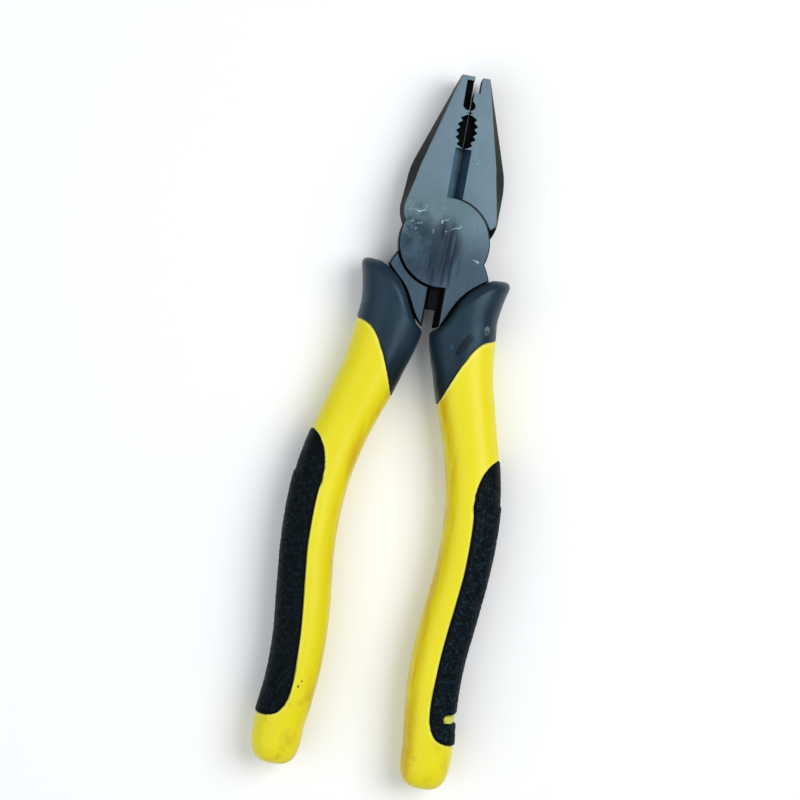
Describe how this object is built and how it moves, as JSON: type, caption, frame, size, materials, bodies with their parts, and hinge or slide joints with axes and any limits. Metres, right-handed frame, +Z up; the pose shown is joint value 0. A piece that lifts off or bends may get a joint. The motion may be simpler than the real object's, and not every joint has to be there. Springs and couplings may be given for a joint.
{
  "type": "lineman pliers",
  "caption": "Lineman pliers with flat jaws, pipe grip, side cutters and two-colour moulded grips with guard collars and textured pads.",
  "frame": {"origin": "on the bench the tool lies on, under the middle of its overall box", "axes": "+Y along the tool towards the jaw tips, +X to the side whose grip belongs to the left-jaw lever, +Z up out of the ground head face"},
  "size_m": [0.0636, 0.2124, 0.0189],
  "materials": {
    "forged_steel": "ground satin faces, dark forged flanks",
    "rivet_steel": "ground flush, satin",
    "hard_core": "moulded, hidden inside the grip",
    "yellow_shell": "smooth moulded, slightly worn",
    "collar_rubber": "smooth, semi-gloss",
    "pad_rubber": "pebble-grained"
  },
  "bodies": {
    "left_jaw_side": {"left_jaw_lever": "forged_steel", "pivot_rivet": "rivet_steel", "right_grip_core": "hard_core", "right_grip_shell": "yellow_shell", "right_guard_collar": "collar_rubber", "right_palm_pad": "pad_rubber"},
    "right_jaw_side": {"right_jaw_lever": "forged_steel", "left_grip_core": "hard_core", "left_grip_shell": "yellow_shell", "left_guard_collar": "collar_rubber", "left_palm_pad": "pad_rubber"}
  },
  "joints": [
    {"name": "jaw_pivot", "type": "hinge", "parent": "left_jaw_side", "child": "right_jaw_side", "pos_m": [0.00055, 0.0558, 0.00946], "axis": [0, 0, -1], "range_deg": [-0.5, 32]}
  ]
}
